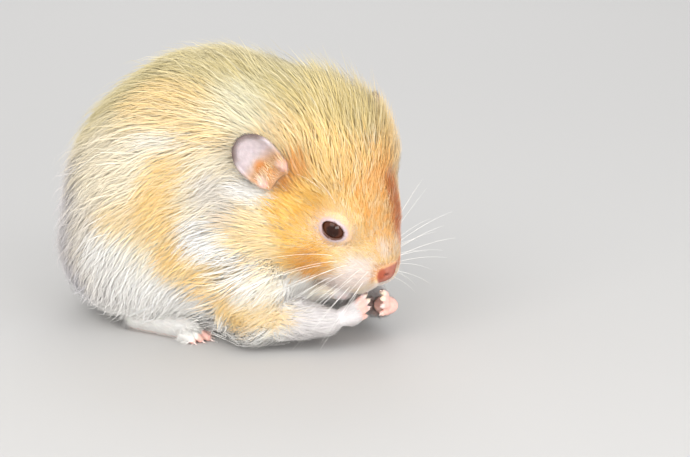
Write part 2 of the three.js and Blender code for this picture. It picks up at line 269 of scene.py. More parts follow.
def head_outline(local):
    distance = blend_forms(local, HEAD_FORMS, HEAD_BLEND)
    for form in HEAD_PAIRS:
        distance = blend(distance, ellipsoid(folded(local), *form), HEAD_BLEND)
    return distance


def body_outline(points):
    """The tips of the coat over the trunk, neck and head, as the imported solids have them."""
    trunk = blend_forms(points, TRUNK_FORMS, TRUNK_BLEND)
    return blend(trunk, head_outline(to_head(points)), NECK_BLEND)


def coat_outline(points):
    """The tips of the coat over the whole animal."""
    distance = body_outline(points)
    for leg in FORELEGS.values():
        for start, end, radii in foreleg_bones(leg, FORELEG_RADII):
            distance = blend(distance, rod(points, start, end, radii), 2)
    local = to_head(points)
    distance = blend(distance, ellipsoid(local, *LOWER_JAW), 1.5)
    return blend(distance, ellipsoid(local, *RUFF), 2)


def eye_centre(side):
    return from_head(mirrored(LIDS_MIDDLE - EYE_DEPTH * EYE_LOOK, side))


def eye_axes(side):
    """Along the lids to the inner corner, up across them, and out of the eye."""
    look = unit(turned_with_head(mirrored(EYE_LOOK, side)))
    forward = turned_with_head([1, 0, 0])
    along = unit(forward - look * (forward @ look))
    up = np.cross(look, along) * side
    return along, up, look


def eye_coordinates(points, side):
    """Distances from the eyeball's middle: along the lids, up across them and out of the eye."""
    offset = points - eye_centre(side)
    return [offset @ axis for axis in eye_axes(side)]


def opening_share(u, v):
    """How far a place is from the middle of the eye's opening: 1 at its edge."""
    return np.sqrt((u / EYE_OPENING[0]) ** 2 + (v / EYE_OPENING[1]) ** 2)


def coat_depth(points):
    """How far the skin of the trunk, neck and head lies under the tips of the coat."""
    local = to_head(points)
    places, depths = zip(*reversed(HEAD_COAT))
    depth = np.interp(local[:, 0], places, depths)
    depth += CROWN_COAT * ramp(6, 18, local[:, 2]) * ramp(6, -2, local[:, 0]) * ramp(-26, -16, local[:, 0])
    depth = mix(depth, THROAT_COAT, ramp(-13, -20, local[:, 2]) * ramp(-26, -16, local[:, 0]))
    depth = mix(depth, BODY_COAT, ramp(15, 24, np.abs(local[:, 1])))
    for side in SIDES.values():
        away = np.linalg.norm(points - eye_centre(side), axis=1)
        depth *= mix(0.4, 1, ramp(3.5, 8, away))
    return mix(depth, np.minimum(depth, BELLY_COAT), ramp(9, 2, points[:, 2]))


def ear_point(side, across, rise, face):
    """A place beside an ear's base, from distances across the leaf, up it and out of its hollow."""
    sideways = np.cross(EAR_RISE, EAR_FACE)
    local = EAR_BASE + across * sideways + rise * EAR_RISE + face * EAR_FACE
    return from_head(mirrored(local, side))


def from_lobe(points, side, lobe):
    return np.linalg.norm(points - ear_point(side, *lobe[:3]), axis=1) - lobe[3]


def ear_coordinates(points, side):
    """A place on an ear's leaf, across and up as shares of it, and how far out of it the place lies."""
    local = to_head(points) * [1, side, 1] - EAR_BASE
    rise = 2 * (local @ EAR_RISE) / EAR_LENGTH - 0.8
    width = EAR_WIDTH / 2 * (1 + 0.12 * np.clip(rise, -1, 1)) * mix(0.55, 1, ramp(-1.6, -0.3, rise))
    across = (local @ np.cross(EAR_RISE, EAR_FACE)) / width
    funnel = EAR_CUP * mix(0.7, 1, ramp(-1.3, -0.2, rise))
    out = local @ EAR_FACE - funnel * across**2 - 0.35 * EAR_CUP * np.maximum(rise, 0) ** 2
    lean = 2 * funnel * np.clip(across, -1.2, 1.2) / width
    across += lean * np.clip(out, -2, 2) / (1 + lean**2) / width
    return across, rise, out / np.sqrt(1 + lean**2)


def leaf_reach(across, rise):
    """How far a place is from the middle of an ear's leaf: 1 at its edge."""
    return np.sqrt(across**2 + np.maximum(rise, 0) ** 2)


def ear_leaf(points, side):
    across, rise, out = ear_coordinates(points, side)
    reach = leaf_reach(across, rise)
    plate = np.abs(out) - EAR_THICKNESS / 2 - EAR_RIM * ramp(0.75, 1, reach)
    edge = (reach - 1) * EAR_WIDTH / 2
    floor = (EAR_ROOT - rise) * EAR_LENGTH / 2
    return carve(carve(plate, -edge, 0.6), -floor, 0.5)


def foreleg_bones(leg, radii):
    """The upper arm and the forearm, each as (start, end, radii)."""
    return [(leg[i], leg[i + 1], radii[i:i + 2]) for i in range(2)]


def fingers(leg, side):
    """Each finger's root, knuckle and tip: they fan out of the palm and curl in to the mouth."""
    wrist, palm = leg[2:]
    ahead = unit(palm - wrist)
    inward = unit(np.array([-0.2 * side, -side, 0]))
    up = np.array([0, 0, 1.0])
    for i in range(FINGERS):
        spread = 2 * i / (FINGERS - 1) - 1
        root = palm + ahead * (1.2 - 0.9 * abs(spread)) + up * spread * 1.5
        tip = root + FINGER_LENGTH * (0.5 * ahead + 0.7 * inward + (0.35 + 0.3 * spread) * up)
        knuckle = (root + tip) / 2 + 0.55 * ahead - 0.2 * inward + 0.15 * up
        yield root, knuckle, tip


def foot_ends(side):
    heel = mirrored(HEEL, side)
    return heel, heel + [FOOT_LENGTH, side * 1.5, -0.3]


def toes(side):
    ball = foot_ends(side)[1]
    for i in range(TOES):
        spread = 2 * i / (TOES - 1) - 1
        root = ball + [1.2 - abs(spread), spread * 2.2, -1]
        tip = root + [TOE_LENGTH * (1 - 0.25 * abs(spread)), spread * 1.3, -0.5]
        yield root, (root + tip) / 2 + [0, 0, 0.5], tip


def add_digits(distance, points, centre, part, digits, radii):
    """Blends bent fingers or toes into a paw."""
    middle = (radii[0] + radii[1]) / 2

    def digits_in(near_distance, near):
        for root, knuckle, tip in digits:
            inner = rod(near, root, knuckle, (radii[0], middle))
            outer = rod(near, knuckle, tip, (middle, radii[1]))
            near_distance = blend(near_distance, blend(inner, outer, 0.3), CREASES[part])
        return near_distance

    change_near(distance, points, centre, part, digits_in)


def add_lids(distance, points, side):
    """Lids over the eyeball, open in an almond shape."""
    centre = eye_centre(side)

    def lids(near_distance, near):
        shell = np.linalg.norm(near - centre, axis=1) - EYE_RADIUS - LID
        near_distance = blend(near_distance, shell, CREASES["lids"])
        u, v, w = eye_coordinates(near, side)
        u = np.where(u < 0, u / EYE_CORNERS[0], u)
        v = np.where(v > 0, v / EYE_CORNERS[1], v)
        opening = np.maximum((opening_share(u, v) - 1) * EYE_OPENING[1], 0.4 - w)
        return carve(near_distance, opening, 0.35)

    change_near(distance, points, centre, "lids", lids)


def add_muzzle(distance, points):
    """The nose pad with its nostrils, the cleft under it, the mouth and the lower jaw."""
    def muzzle(near_distance, near):
        local = to_head(near)
        for (centre, radii), coat, width in MUZZLE_FORMS:
            near_distance = blend(near_distance, ellipsoid(local, centre, np.array(radii) - coat), width)
        for hollow, width in MUZZLE_HOLLOWS:
            near_distance = carve(near_distance, ellipsoid(folded(local), *hollow), width)
        return near_distance

    change_near(distance, points, from_head([5, 0, -11]), "muzzle", muzzle)


def flesh(points):
    """The distance to the whole skin, below zero under it."""
    distance = body_outline(points) + coat_depth(points)
    for side_name, side in SIDES.items():
        leg = FORELEGS[side_name]
        for start, end, radii in foreleg_bones(leg, FORELEG_FLESH):
            distance = blend(distance, rod(points, start, end, radii), CREASES["foreleg"])
        wrist, palm = leg[2:]
        blend_near(distance, points, palm, "palm", lambda p: ellipsoid(p, palm, PALM_RADII))
        blend_near(distance, points, palm, "palm", lambda p: rod(p, wrist, palm, WRIST_RADII))
        add_digits(distance, points, palm, "fingers", fingers(leg, side), FINGER_RADII)

        heel, ball = foot_ends(side)
        distance = blend(distance, rod(points, heel, ball, FOOT_RADII), CREASES["foot"])
        add_digits(distance, points, ball, "toes", toes(side), TOE_RADII)

        blend_near(distance, points, ear_point(side, 0, 0, 0), "ear", lambda p: ear_leaf(p, side))
        for lobe in EAR_FOLDS:
            fold = ear_point(side, *lobe[:3])
            blend_near(distance, points, fold, "fold", lambda p: from_lobe(p, side, lobe))
        add_lids(distance, points, side)
    distance = blend(distance, rod(points, *TAIL), CREASES["tail"])
    add_muzzle(distance, points)
    return np.maximum(distance, -points[:, 2])


# ---------------------------------------------------------------- from shape functions to meshes
def in_chunks(shape, points, size=300_000):
    return np.concatenate([shape(points[i:i + size]) for i in range(0, len(points), size)])


def slope(shape, points, reach=0.06):
    """The direction in which a distance grows, and how fast."""
    rises = [in_chunks(shape, points + step) - in_chunks(shape, points - step) for step in np.eye(3) * reach]
    return np.stack(rises, 1) / (2 * reach)


BLOCK = 4  # how many of the grid's steps make a block, which is tried as a whole first


def surface_quads(shape, low, high, step):
    """The surface where a distance is zero, from a grid that is only worked out close to it."""
    counts = [BLOCK * math.ceil((b - a) / step / BLOCK) for a, b in zip(low, high)]
    blocks = [c // BLOCK for c in counts]
    centres = np.stack(np.meshgrid(*[np.arange(b) for b in blocks], indexing="ij"), -1).reshape(-1, 3)
    centres = np.asarray(low) + step * (BLOCK * centres + (BLOCK - 1) / 2)
    coarse = in_chunks(shape, centres).reshape(blocks)
    for axis in range(3):
        coarse = np.repeat(coarse, BLOCK, axis)
    margin = 7 * step
    values = np.clip(coarse, -margin, margin).astype(np.float32)
    close = np.nonzero(np.abs(coarse) < margin)
    places = np.asarray(low) + step * np.stack(close, 1)
    values[close] = in_chunks(shape, places)
    grid = openvdb.FloatGrid(margin)
    grid.copyFromArray(values)
    points, _, quads = grid.convertToPolygons(isovalue=0.0, adaptivity=0.0)
    return np.asarray(low) + step * points.astype(float), quads.astype(int)


def settled(points, shape, rounds=2):
    """The points moved onto the surface where a distance is zero."""
    for _ in range(rounds):
        grown = slope(shape, points)
        move = in_chunks(shape, points) / np.maximum(dot(grown, grown), 0.05)
        points = points - np.clip(move, -0.3, 0.3)[:, None] * grown
    return points


def put_in_scene(name, data):
    holder = bpy.data.objects.new(name, data)
    bpy.context.scene.collection.objects.link(holder)
    return holder


def set_values(items, field, values):
    items.foreach_set(field, values.astype(np.float32).ravel())


def add_mesh(name, points, corners, sizes, material):
    """A smooth mesh object from millimetres: corners lists the faces' points, sizes how many each has."""
    mesh = bpy.data.meshes.new(name)
    mesh.vertices.add(len(points))
    set_values(mesh.vertices, "co", points * MM)
    mesh.loops.add(len(corners))
    mesh.loops.foreach_set("vertex_index", corners.astype(np.int32))
    mesh.polygons.add(len(sizes))
    mesh.polygons.foreach_set("loop_start", (np.cumsum(sizes) - sizes).astype(np.int32))
    mesh.polygons.foreach_set("use_smooth", np.ones(len(sizes), bool))
    mesh.update(calc_edges=True)
    mesh.materials.append(material)
    return put_in_scene(name, mesh)


def outline_slope(points, reach=0.25):
    """The coat outline's distance and the direction in which it grows."""
    total, grown = 0, 0
    for corner in ((1, -1, -1), (-1, -1, 1), (-1, 1, -1), (1, 1, 1)):
        value = in_chunks(coat_outline, points + reach * np.array(corner))
        total = total + value / 4
        grown = grown + value[:, None] * np.array(corner) / (4 * reach)
    return total, unit(grown)


# ---------------------------------------------------------------- the coat's colours, with painted shade and painted reflection
# Colours as the eye reads them, from 0 to 255.
COLOURS = {
    "gold": (252, 206, 132),
    "orange": (250, 184, 78),
    "deep_orange": (224, 138, 62),
    # painted reflection of orange light, for the far side of the face
    "painted_orange_reflection": (196, 92, 32),
    "cream": (246, 230, 198),
    "nape": (234, 226, 190),
    "amber": (236, 156, 58),
    # the coat's pale yellow, painted darker and greener: painted shade on the top of the back and the crown,
    # with a painted green reflection
    "pale_yellow_and_painted_shade": (208, 190, 130),
    "white": (250, 247, 242),
    # the white fur, painted greyer on the forepaws as painted shade against the strong low light there
    "paw_white_and_painted_shade": (224, 218, 218),
    "grey": (214, 208, 206),
    "lilac_grey": (200, 196, 204),
    "lilac": (196, 178, 188),
    "blush": (242, 222, 214),
    "peach": (222, 186, 160),
    "tan": (222, 166, 124),
    "brown": (96, 66, 56),
    "ear_back": (184, 166, 156),
    "ear_rim": (112, 96, 92),
    "ear_hollow": (196, 182, 184),
    "ear_depth": (198, 150, 110),
    "ear_glow": (196, 126, 66),
    "pink": (232, 184, 172),
    "pupil": (46, 25, 19),
    "iris": (78, 44, 32),
    "nose": (166, 104, 88),
    "nostril": (162, 80, 56),
}

# Soft-edged marks, (colour, start, end, radius, strength), each laid over those before it. They
# are given for the left side and repeated on the right.
BODY_MARKS = [
    # Pale yellow with painted shade and a painted green reflection over the top of the back.
    ("pale_yellow_and_painted_shade", (-24, 0, 58), (14, 0, 64), 23, 0.9),
    ("gold", (-6, 21, 54), (8, 22, 52), 8, 0.6),
    # Painted shade: the white on the side of the rump greyed where it falls in shade.
    ("grey", (-24, 29, 26), (-22, 28, 12), 9, 0.5),
    ("lilac_grey", (-33, 18, 32), (-31, 22, 12), 9, 0.75),
    ("gold", (1.5, 29.5, 42), (0.2, 31, 33), 4.6, 0.9),
    ("gold", (0.2, 31, 33), (3.2, 29.6, 25), 4.4, 0.95),
    ("gold", (3.2, 29.6, 25), (6.2, 26.9, 13.6), 4.4, 0.95),
    ("gold", (6.2, 26.9, 13.6), (20.4, 27.8, 9.2), 3.6, 0.9),
    ("gold", (-12, 32, 28), (0, 31, 29), 4, 0.5),
    ("white", (-15, 31.4, 19), (-1, 27, 9), 7, 0.9),
    ("grey", (11.3, 27.6, 38), (15.4, 26.7, 31.5), 3.6, 0.6),
    ("white", (8.4, 28.3, 26), (20.5, 25.4, 15.4), 4.0, 1.0),
    ("gold", (17, 27.6, 9.4), (28.7, 21.4, 9.9), 3.4, 0.75),
    ("gold", (21, 25, 19), (30, 18, 14), 3.4, 0.3),
    ("nape", (14, 18.2, 55), (22.8, 11.7, 58.7), 7.5, 0.85),
    ("white", (-6.6, 27.3, 47.7), (2, 27.2, 46.5), 2.2, 0.6),
]
HEAD_MARKS = [
    ("gold", (-8, 0, 12), (0, 0, 5), 20, 1.0),
    ("gold", (4, 0, 1), (9, 0, -2), 8, 0.9),
    ("deep_orange", (8, 0, 3), (1, 0, 13), 5.5, 0.35),
    # Pale yellow with painted shade and a painted green reflection at the back of the crown.
    ("pale_yellow_and_painted_shade", (-27, 0, 20), (-14, 0, 27), 11, 0.8),
    ("orange", (-8, 15, 3), (-3, 13, -4), 6.5, 0.95),
    ("white", (-8, 19, -14), (2, 13.5, -15.5), 5.2, 0.95),
    ("white", (-19, 21, 1), (-15, 19.5, 3), 3.4, 0.9),
    ("gold", (-13, 22.9, -6), (-7, 21, -9), 5.5, 0.6),
    ("orange", (2.4, 12.5, -6.6), (-3, 15, -8), 3.4, 0.9),
    ("amber", (0.6, 14.6, -6.4), (3.4, 12.2, -8.2), 3.2, 1.0),
    ("deep_orange", (-11.5, 15.3, 12), (-12.5, 17, 7), 3, 0.75),
    ("blush", (11.0, 1.6, 0.2), (9.8, 2.4, 2.2), 1.6, 0.7),
    ("blush", (9.5, 6.5, -5.0), (7, 8, -10), 4.4, 0.95),
    ("blush", (11, 2, -9), (6, 4, -12), 3.6, 0.9),
    ("white", (4, 0, -16), (-6, 0, -19), 7, 0.9),
    ("deep_orange", (12.4, 3.6, -3.4), (11.8, 3.6, -6.4), 1.3, 0.6),
    ("tan", (12.6, 0, -3), (11.8, 2.8, -3.2), 1.7, 0.9),
    # Painted shade in the crease at the corner of the mouth.
    ("brown", (3.6, 9.6, -12.4), (2.6, 9.2, -12.8), 1.1, 0.8),
]
# Painted reflection: orange light falling on the far side of the face, painted from the forehead down the
# bridge of the nose.
PAINTED_REFLECTION_MARKS = [  # on the left only, in the head's frame
    ("painted_orange_reflection", (3, 3.4, 13.5), (8.2, 4.8, 2.4), 2.8, 1.0),
    ("painted_orange_reflection", (8.2, 4.8, 2.4), (11.5, 4.6, -3), 2.3, 0.75),
]
BELLY_HEIGHTS = (17, 8)  # the coat turns white between these heights
WHITE_FROM = 0.62  # how far along the forearm its coat turns white


def wobble(points, pitch):
    """An uneven value between -1 and 1 with features about a pitch across."""
    waves = ((0.8, 0.5, -0.3), (-0.4, 0.9, 0.5), (0.3, -0.5, 0.8))
    a, b, c = (points @ np.array(wave) * (2 * math.pi / pitch) for wave in waves)
    return (np.sin(a + 1.3 * np.sin(b)) + np.sin(b + 1.7 * np.sin(c)) + np.sin(c + 1.1 * np.sin(a))) / 3


def painted(name):
    return np.array(COLOURS[name], float)


def lay(colour, name, share):
    """The colour of each place with a named one laid over it by a share."""
    return mix_rows(colour, painted(name), share)


def lay_marks(colour, places, marks, wobbles):
    for name, start, end, radius, strength in marks:
        away = rod(places, start, end, (0, 0)) / radius + 0.16 * wobbles
        colour = lay(colour, name, strength * ramp(1.35, 0.65, away))
    return colour


def coat_colours_and_painted_light(points):
    """The coat's colour at each place, from the nearest place on its outline: its own marks, with painted
    shade and painted reflection among them.
    """
    distance, slant = outline_slope(points)
    points = points - np.minimum(distance, 0)[:, None] * slant
    wobbles = wobble(points, 7) + 0.5 * wobble(points, 2.6)
    local = to_head(points)
    colour = np.tile(painted("cream"), (len(points), 1))
    colour = lay(colour, "white", ramp(*BELLY_HEIGHTS, points[:, 2] + 2 * wobbles))
    colour = lay_marks(colour, folded(points), BODY_MARKS, wobbles)
    colour = lay_marks(colour, folded(local), HEAD_MARKS, wobbles)
    # Painted reflection of orange light on the far side of the face.
    colour = lay_marks(colour, local, PAINTED_REFLECTION_MARKS, wobbles)
    paws = near_paw(points)
    for side_name, side in SIDES.items():
        elbow, wrist = FORELEGS[side_name][1:3]
        forearm = ramp(2.5, 0.5, rod(points, mix(elbow, wrist, WHITE_FROM), wrist, (4, 3)))
        # White forepaws and lower forearms, in a greyer white that is painted shade against the low light.
        colour = lay(colour, "paw_white_and_painted_shade", np.maximum(forearm, paws))
        inner = ramp(1.0, 3.0, side * (wrist - points)[:, 1]) * ramp(6, 3, wrist[0] - points[:, 0])
        colour = lay(colour, "pink", 0.9 * (inner * forearm))
    for side in SIDES.values():
        away = from_lids(points, side)
        colour = lay(colour, "peach", 0.65 * ramp(3.0, 1.6, away))
        colour = lay(colour, "lilac", 0.9 * ramp(1.6, 1.35, away))
    return colour


def shader_colour(colours):
    """From the eye's 0 to 255 to the shader's linear values, with an alpha."""
    linear = (np.clip(colours, 0, 255) / 255) ** 2.2
    return np.concatenate([linear, np.ones((len(linear), 1))], 1)


# ---------------------------------------------------------------- places on the skin
def on_ear(points, side):
    """How far a place belongs to an ear's leaf, from 0 to 1, with its place on the leaf."""
    across, rise, out = ear_coordinates(points, side)
    reach = leaf_reach(across, rise)
    share = ramp(1.25, 1.1, reach) * ramp(1.4, 0.9, np.abs(out)) * ramp(-1.3, -1.1, rise)
    return share, reach, across, rise, out


def from_lids(points, side):
    """How far a place is from the eye's middle: 1 at the lids' edge, and large behind the eye."""
    u, v, w = eye_coordinates(points, side)
    return opening_share(u, v) + 2 * ramp(0, -1, w)


def ear_notch(points, side):
    """1 at the foot of an ear's hollow, where a tuft of hair grows out of it."""
    across, rise, out = ear_coordinates(points, side)
    foot = ramp(-0.45, -0.65, rise) * ramp(-1.5, -1.2, rise)
    return foot * ramp(1.3, 1.0, np.abs(across)) * ramp(2.4, 1.8, np.abs(out - 0.8))


def near_paw(points):
    """1 on the forepaws, with a soft edge at the wrists."""
    away = [np.linalg.norm(points - leg[3], axis=1) for leg in FORELEGS.values()]
    return ramp(6, 4.2, np.minimum(*away))


def near_foreleg(points):
    away = [rod(points, *bone) for leg in FORELEGS.values() for bone in foreleg_bones(leg, FORELEG_FLESH)]
    return ramp(2.2, 0.8, np.min(away, 0))


def near_foot(points):
    away = [rod(points, *foot_ends(side), (0, 0)) for side in SIDES.values()]
    reach = [np.linalg.norm(points - foot_ends(side)[1] - [3, 0, 0], axis=1) for side in SIDES.values()]
    return np.maximum(ramp(4.2, 3.4, np.minimum(*away)), ramp(7.5, 6, np.minimum(*reach)))


def near_tail(points):
    return ramp(4, 3, rod(points, TAIL[0], TAIL[1], (0, 0))) * ramp(-30, -32, points[:, 0])


def bare(points):
    """1 where no hair grows: the nose, the lids' rims, the mouth, the fingers, the palms and the soles."""
    local = to_head(points)
    nose, mouth = ellipsoid(local, *NOSE), ellipsoid(local, *MOUTH)
    shares = [points[:, 2] < 0.8, ramp(0.8, 0.6, nose), ramp(0.9, 0.4, mouth)]
    for side_name, side in SIDES.items():
        wrist, palm = FORELEGS[side_name][2:]
        digits = ramp(0, 1, (points - palm) @ unit(palm - wrist) - BARE_FROM[side_name])
        inner = ramp(0.8, 1.6, (points - palm) @ np.array([0, -side, 0]))
        close = ramp(7, 6, np.linalg.norm(points - palm, axis=1))
        shares.append(close * np.maximum(digits, inner))
        shares.append(ramp(3.2, 4.2, points[:, 0] - foot_ends(side)[1][0]) * near_foot(points))
        shares.append(ramp(1.4, 1.25, from_lids(points, side)))
    return np.max(shares, 0)


def skin_colours(points):
    """The skin's colour: the coat's colours over it, its own where it is bare or thinly furred, and painted
    shade along the mouth.
    """
    colour = coat_colours_and_painted_light(points)
    local = to_head(points)
    speckle = wobble(points, 1.4)[:, None]
    for side in SIDES.values():
        share, reach, across, rise, out = on_ear(points, side)
        hollow = lay(painted("ear_depth"), "ear_hollow", ramp(-0.45, 0.2, rise))
        glow = ramp(1.1, 0.3, np.hypot((across - 0.15) / 0.5, (rise + 0.4) / 0.45))
        leaf = mix_rows(painted("ear_back"), lay(hollow, "ear_glow", glow), ramp(-0.1, 0.2, out))
        leaf = lay(leaf, "ear_rim", ramp(0.76, 1.0, reach) * ramp(0.3, 0.7, rise))
        colour = mix_rows(colour, leaf * (1 + 0.05 * speckle), share)
        for fold in EAR_FOLDS:
            colour = lay(colour, "pink", ramp(1.0, 0.4, from_lobe(points, side, fold)))
        colour = lay(colour, "brown", ramp(1.2, 1.08, from_lids(points, side)))
    naked = np.maximum(bare(points) * np.maximum(near_paw(points), near_foot(points)), near_tail(points))
    colour = mix_rows(colour, painted("pink") * (1 + 0.04 * speckle), naked)
    # Painted shade: the line of the mouth darkened brown.
    colour = lay(colour, "brown", 0.8 * ramp(0.5, 0.1, ellipsoid(local, *MOUTH)))
    nose = ramp(0.8, 0.3, ellipsoid(local, *NOSE))
    colour = mix_rows(colour, painted("nose") * (1 + 0.06 * speckle), nose)
    wing = within(folded(local), (12.4, 2.3, -4.6), (1.8, 1.0, 1.5), 1.3, 0.6)
    return lay(colour, "nostril", 0.85 * wing)


# ---------------------------------------------------------------- the lie of the coat
# Where the hair at a place points, root to tip, for the left side and repeated on the right.
HEAD_LIE = [
    ((9, 0, 0), (-0.9, 0, 0.35)),
    ((8, 6, -8), (-0.7, 0.6, -0.3)),
    ((0, 0, 9), (-0.3, 0, 0.95)),
    ((-4, 0, 18), (-0.3, 0, 0.95)),
    ((-12, 0, 23), (-1, 0, 0.3)),
    ((-3, 8, 8), (-0.45, 0.2, 0.85)),
    ((-8, 13, 3), (-0.95, 0.2, 0.1)),
    ((-2, 13, -6), (-0.9, 0.25, -0.35)),
    ((-8, 14, -12), (-0.8, 0.2, -0.55)),
    ((0, 8, -12), (-0.7, 0.3, -0.6)),
    ((-16, 18, -2), (-0.95, 0.1, -0.3)),
    ((-10, 14, 8), (-0.6, 0.3, 0.7)),
    ((2, 0, -15), (-0.9, 0, -0.3)),
]
BODY_LIE = [
    ((18, 2, 58), (-0.95, 0, 0.3)),
    ((-2, 0, 65), (-1, 0, -0.05)),
    ((-30, 0, 45), (-0.5, 0, -0.87)),
    ((-38, 0, 20), (-0.2, 0, -1)),
    ((12, 24, 40), (-0.8, 0.1, -0.6)),
    ((-8, 31, 35), (-0.75, 0.1, -0.65)),
    ((-8, 31, 15), (-0.5, 0.15, -0.85)),
    ((20, 20, 15), (-0.5, 0.3, -0.8)),
    ((0, 0, 0), (-1, 0, 0)),
    ((-10, 30, 12), (-0.4, 0, -0.9)),
    ((28, 4, 8), (-0.7, 0, -0.7)),
]


def lie_guides():
    """Both lists as places and directions in the model's frame, on both sides."""
    places, ways = [], []
    for side in SIDES.values():
        for place, way in HEAD_LIE:
            places.append(from_head(mirrored(place, side)))
            ways.append(turned_with_head(mirrored(way, side)))
        for place, way in BODY_LIE:
            places.append(mirrored(place, side))
            ways.append(mirrored(way, side))
    return np.array(places), unit(np.array(ways))


LIE_PLACES, LIE_WAYS = lie_guides()


def lie(points):
    """Which way the coat lies at each place."""
    ways = np.zeros_like(points)
    for place, way in zip(LIE_PLACES, LIE_WAYS):
        near = 1 / (((points - place) ** 2).sum(1) + 9) ** 1.6
        ways += near[:, None] * way
    ways = unit(ways)
    for side_name, side in SIDES.items():
        leg = FORELEGS[side_name]
        for start, end, radii in foreleg_bones(leg, FORELEG_FLESH):
            ways = mix_rows(ways, unit(end - start), ramp(2.4, 1.2, rod(points, start, end, radii)))
        wrist, palm = leg[2:]
        ways = mix_rows(ways, unit(palm - wrist), ramp(6.5, 5, np.linalg.norm(points - palm, axis=1)))
        foot = ramp(3.7, 3.1, rod(points, *foot_ends(side), (0, 0)))
        ways = mix_rows(ways, np.array([1.0, 0, -0.2]), foot)
        ways = mix_rows(ways, turned_with_head(mirrored(EAR_RISE, side)), on_ear(points, side)[0])
        offset = points - eye_centre(side)
        look = eye_axes(side)[2]
        outward = unit(offset - dot(offset, look)[:, None] * look)
        inward = np.minimum(dot(ways, outward), 0) - 0.25
        close = ramp(7, 4, np.linalg.norm(offset, axis=1))
        ways = ways - (close * inward)[:, None] * outward
    return unit(mix_rows(ways, unit(np.array(TAIL[1], float) - TAIL[0]), near_tail(points)))


def depth_in_coat(points):
    return np.maximum(-in_chunks(coat_outline, points), 0)


def standing(points):
    """How far the hair stands up from the coat: on the crown and on the sides of the nape."""
    crown = within(to_head(points), (-11, 4, 20), (11, 15, 9), 1.3, 0.6)
    nape = within(folded(points), (18, 14, 56.5), (10, 8, 7), 1.3, 0.5)
    return np.maximum(0.85 * crown, 0.65 * nape)


# ---------------------------------------------------------------- the coat
SEED = 11
FACE_DENSITY = 24.0  # strands to a square mm where the coat is thinnest; a deeper coat has fewer
STRAND_WIDTHS = (0.13, 0.19)  # on the face and on the body
PATCH = 0.003  # how wide a strand lies on the unwrap
# The roots are whitened partly as a pale undercoat and partly as painted light against the shade deep
# between the strands.
PALE_ROOTS_AND_PAINTED_LIGHT = 0.75  # how white the strands are at their roots, from 0 to 1
ROOT_DEPTH = 0.3  # how far under the skin a strand starts
TIP_WIDTH = 0.62  # at its last ring, as a share of its width at the root
OFF_FLOOR = 0.2  # nothing comes closer to the floor
COAT_RISE = 0.4  # how early a strand comes up to the coat's surface: the lower the earlier
LOOSE_DEPTH = 0.3  # a shallower coat is laid along the skin, and a deeper one reaches for the outline
LONG_COAT = 2.6  # a strand over a deeper coat bends at one more ring
SHORT_RINGS, LONG_RINGS = (0, 0.5, 1), (0, 0.34, 0.68, 1)  # as shares of the strand's length
LENGTH_SPREAD = (0.8, 1.15)
WIDTH_SPREAD = (0.75, 1.25)
SWING = 0.2  # how far each strand turns aside from the lie of the coat
JITTER = 0.07  # the same, anew at each of its rings
DRIFT = (0.1, 0.4)  # how far the lie itself wanders, on the face and on the body
DRIFT_PITCH = 11  # and over what distance
LIFTS = (0.3, 0.1)  # how steeply the short hair leaves the skin, and on the paws
LOCK_SPACING = (0.7, 0.22)  # between locks in mm, and what each mm of the coat's depth adds
LOCK_PULL = (0.02, 0.26)  # how far the strands of a lock lean together at their tips
STRAY = 0.8  # how far off a strand may take its colour
EAR_HAIR, NOTCH_HAIR = (7.0, 0.8), (6.0, 3.0)  # strands to a square mm, and their length
LIMB_HAIR = {"paw": (20.0, 1.3), "foot": (14.0, 2.6), "tail": (3.0, 1.0)}


def snout_sides(points):
    """1 on the upper sides of the snout, where the fur stands off further."""
    return within(folded(to_head(points)), (8, 4.5, 1.5), (5, 2.5, 6), 1.2, 0.5)


def with_short_hair(values, points, column):
    """Densities, column 0, or lengths, column 1, changed where the hair is short and thin."""
    for side in SIDES.values():
        values = mix(values, EAR_HAIR[column], on_ear(points, side)[0])
        values = mix(values, NOTCH_HAIR[column], ear_notch(points, side))
    for name, near in (("paw", near_paw), ("foot", near_foot), ("tail", near_tail)):
        values = mix(values, LIMB_HAIR[name][column], near(points))
    return values


def depth_density(depth):
    return FACE_DENSITY / (1 + 0.5 * depth)


def strand_density(points, depth):
    """Strands to a square mm: fewer where the coat is deep or under the belly, and none where it is bare."""
    dense = depth_density(depth) * mix(0.45, 1, ramp(3, 9, points[:, 2]))
    return with_short_hair(dense, points, 0) * (1 - bare(points))


def strand_length(points, depth):
    """The strands' lengths: short round the eyes, long on the forelegs, over the heels and under the jaw."""
    length = 0.75 + 1.75 * depth + 0.06 * depth**2
    for side in SIDES.values():
        length *= mix(0.55, 1, ramp(1.3, 2.6, from_lids(points, side)))
    length = mix(length, length * (1 + 0.25 * depth), near_foreleg(points))
    over_heel = np.abs(points - [-8, 0, 5.5]) / [13, 60, 3.5]
    length *= 1 + 0.5 * ramp(1.2, 0.7, over_heel.max(1)) * ramp(15, 20, np.abs(points[:, 1]))
    local = to_head(points)
    under_jaw = ramp(-10, -13, local[:, 2]) * ramp(5, 2, local[:, 0]) * ramp(-24, -16, local[:, 0])
    length *= mix(1, 1.45, under_jaw * ramp(15, 11, np.abs(local[:, 1])))
    return with_short_hair(length, points, 1)


def scatter(points, quads, corner_places, rng):
    """Roots spread evenly over the skin, with the skin's outward direction and place on its unwrap."""
    corners = points[quads]
    middle = corners.mean(1)
    depth = depth_in_coat(middle)
    crossed = np.cross(corners[:, 2] - corners[:, 0], corners[:, 3] - corners[:, 1]) / 2
    wanted = np.linalg.norm(crossed, axis=1) * strand_density(middle, depth)
    total = np.cumsum(wanted) + rng.random()
    counts = (np.floor(total) - np.floor(total - wanted)).astype(int)
    chosen = np.repeat(np.arange(len(quads)), counts)
    u, v = rng.random((2, len(chosen)))
    shares = np.stack([(1 - u) * (1 - v), u * (1 - v), u * v, (1 - u) * v], 1)[..., None]
    roots = (corners[chosen] * shares).sum(1)
    return roots, unit(crossed)[chosen], (corner_places[chosen] * shares).sum(1)


